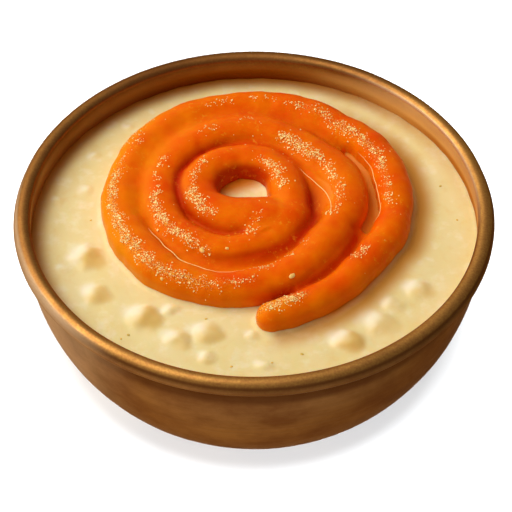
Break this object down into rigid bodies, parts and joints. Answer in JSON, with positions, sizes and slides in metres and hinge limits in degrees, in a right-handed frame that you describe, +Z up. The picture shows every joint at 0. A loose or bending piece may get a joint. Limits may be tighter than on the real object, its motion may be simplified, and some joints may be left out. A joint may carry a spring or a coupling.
{
  "type": "jalebi dessert bowl",
  "caption": "Coiled orange jalebi lying on thick lumpy rabri that fills a round brass bowl with a rolled rim.",
  "frame": {"origin": "middle of the bowl's flat underside, on which it stands", "axes": "+Z up through the middle of the bowl; -Y towards the front of the dish, where the coil's loose tail lies; +X to the right seen from the front"},
  "size_m": [0.15, 0.15, 0.06],
  "materials": {
    "brass": "aged, finely brushed round, satin",
    "cream": "thick clotted cream, wet",
    "syrup": "fried batter soaked in sugar syrup, glossy"
  },
  "bodies": {
    "root": {"bowl": "brass", "rabri": "cream", "jalebi": "syrup"}
  },
  "joints": []
}
